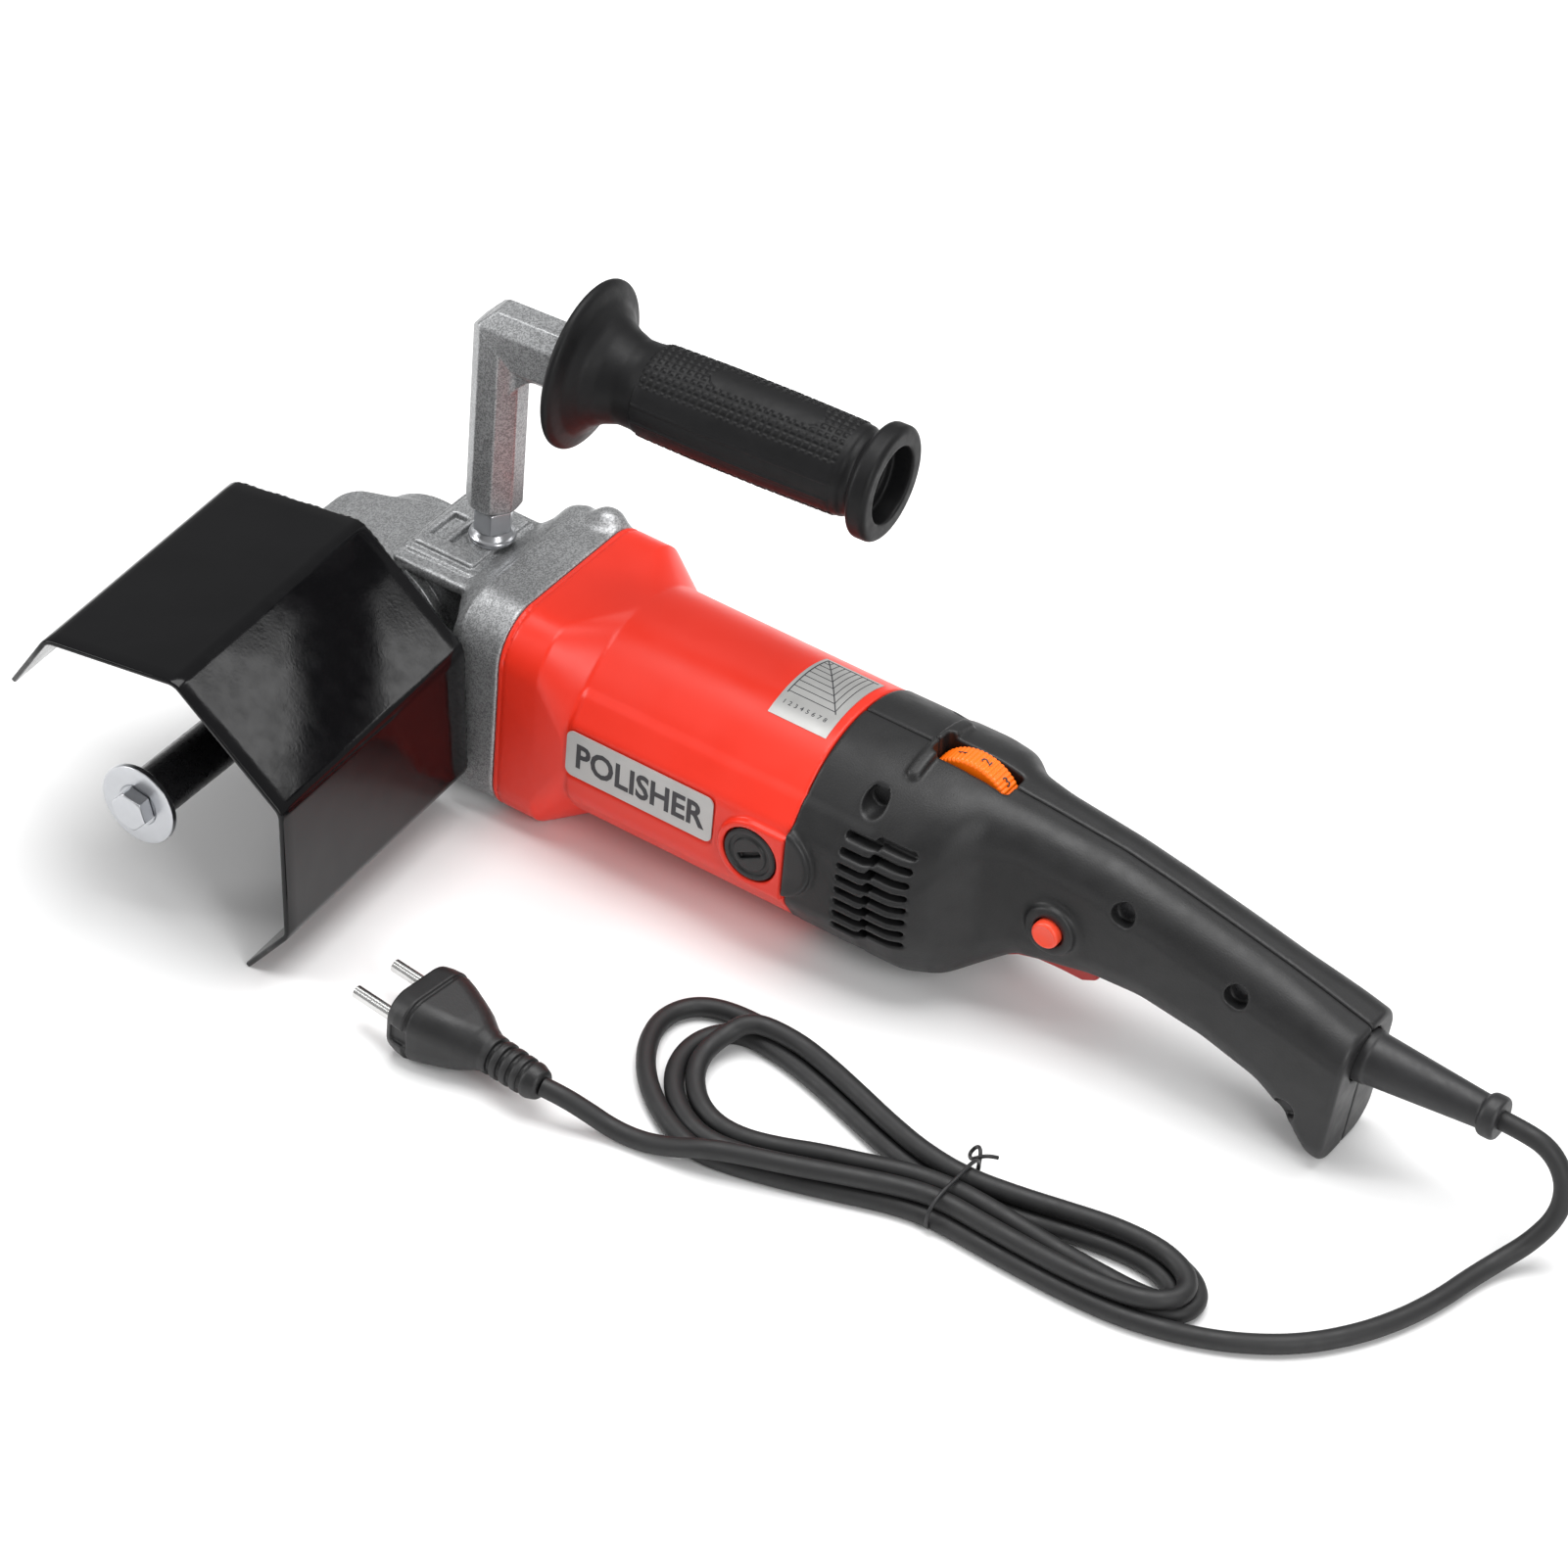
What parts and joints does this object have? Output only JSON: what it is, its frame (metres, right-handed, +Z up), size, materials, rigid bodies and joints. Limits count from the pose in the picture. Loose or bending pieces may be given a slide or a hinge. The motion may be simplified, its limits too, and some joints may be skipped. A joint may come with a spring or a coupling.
{
  "type": "wheel polisher",
  "caption": "Mains hand polisher with a side arbor under a folded sheet guard, a red motor housing, a black rear handle with trigger, a raised side grip, and a tied lead with its plug.",
  "frame": {"origin": "middle of the machine's footprint, without its lead, on the surface it stands on", "axes": "+X along the motor axis from the gear head to the handle's tail, -Y along the arbor, +Z up"},
  "size_m": [0.5376, 0.2151, 0.206],
  "materials": {
    "cast_head": "sparkly silver-grey painted casting",
    "guard_black": "gloss black powder coat",
    "bright_zinc": "bright zinc plate",
    "machined_steel": "turned and ground steel",
    "core_iron": "stacked sheets, dull",
    "copper_wire": "varnished copper",
    "carbon": "pressed carbon, dull",
    "holder_brass": "plain brass",
    "inner_plastic": "plain moulded",
    "housing_red": "semi-gloss moulded, orange-red",
    "handle_black": "satin, finely grained",
    "black_screws": "blacked steel",
    "label_silver": "satin printed foil",
    "dial_orange": "moulded, knurled rim",
    "button_orange": "moulded, smooth",
    "trigger_red": "moulded, smooth",
    "grip_rubber": "semi-matte moulded rubber",
    "sleeve_rubber": "shiny flexible sleeve",
    "lead_rubber": "matte rubber sheath",
    "plug_black": "satin moulded",
    "pin_chrome": "bright plated pins"
  },
  "bodies": {
    "housing": {"air_baffle": "inner_plastic", "bearing_balls": "machined_steel", "bearing_cover": "guard_black", "bearing_cover_screws": "bright_zinc", "bracket_nut": "bright_zinc", "bracket_stud": "bright_zinc", "brush_caps": "handle_black", "brush_holders": "holder_brass", "carbon_brushes": "carbon", "cord_sleeve": "sleeve_rubber", "field_coils": "copper_wire", "gear_head": "cast_head", "guard_clamp": "guard_black", "guard_clamp_screw": "bright_zinc", "guard_end_plate": "guard_black", "handle_screws": "black_screws", "handle_shell_left": "handle_black", "handle_shell_right": "handle_black", "hank_tie": "plug_black", "head_screws": "bright_zinc", "mains_lead": "lead_rubber", "mains_lead_hank": "lead_rubber", "motor_front_bearing_outer_ring": "machined_steel", "motor_housing": "housing_red", "motor_rear_bearing_outer_ring": "machined_steel", "name_plate": "label_silver", "plug_body": "plug_black", "plug_lead": "lead_rubber", "plug_pins": "pin_chrome", "speed_chart_plate": "label_silver", "speed_control": "inner_plastic", "spindle_front_bearing_outer_ring": "machined_steel", "spindle_rear_bearing_outer_ring": "machined_steel", "stator_core": "core_iron", "trigger_pivot": "bright_zinc", "trigger_switch": "inner_plastic", "wheel_guard": "guard_black"},
    "armature": {"armature_shaft": "machined_steel", "bevel_pinion": "machined_steel", "pinion_nut": "machined_steel", "cooling_fan": "inner_plastic", "armature_core": "core_iron", "armature_windings": "copper_wire", "commutator": "copper_wire", "motor_front_bearing_inner_ring": "machined_steel", "motor_rear_bearing_inner_ring": "machined_steel"},
    "spindle": {"spindle_shaft": "machined_steel", "crown_gear": "machined_steel", "arbor_backing_washer": "bright_zinc", "arbor_sleeve": "machined_steel", "arbor_end_washer": "bright_zinc", "arbor_bolt": "bright_zinc", "spindle_rear_bearing_inner_ring": "machined_steel", "spindle_front_bearing_inner_ring": "machined_steel"},
    "side_handle": {"handle_bracket": "cast_head", "side_grip": "grip_rubber", "grip_bolt": "bright_zinc"},
    "speed_dial": {"speed_dial": "dial_orange"},
    "trigger": {"trigger": "trigger_red"},
    "lock_button": {"lock_button": "button_orange"}
  },
  "joints": [
    {"name": "armature_spin", "type": "hinge", "parent": "housing", "child": "armature", "pos_m": [-0.07865, 0.05906, 0.044], "axis": [1, 0, 0], "continuous": true},
    {"name": "spindle_spin", "type": "hinge", "parent": "housing", "child": "spindle", "pos_m": [-0.19865, 0.00906, 0.044], "axis": [0, -1, 0], "continuous": true},
    {"name": "side_handle_swing", "type": "hinge", "parent": "housing", "child": "side_handle", "pos_m": [-0.16365, 0.05906, 0.1], "axis": [0, 0, 1], "range_deg": [-90, 90]},
    {"name": "speed_dial_turn", "type": "hinge", "parent": "housing", "child": "speed_dial", "pos_m": [0.04135, 0.05906, 0.0723], "axis": [0, 1, 0], "range_deg": [-150, 150]},
    {"name": "trigger_pull", "type": "hinge", "parent": "housing", "child": "trigger", "pos_m": [0.06535, 0.05906, 0.034], "axis": [0, -1, 0], "range_deg": [0, 6], "stiffness_Nm_per_rad": 1, "springref_deg": -5.73},
    {"name": "lock_button_press", "type": "slide", "parent": "housing", "child": "lock_button", "axis": [0, 1, 0], "range_m": [0, 0.003], "stiffness_N_per_m": 400, "springref_m": -0.002}
  ],
  "couplings": [
    {"joint": "spindle_spin", "follows": "armature_spin", "ratio": 0.2973}
  ]
}
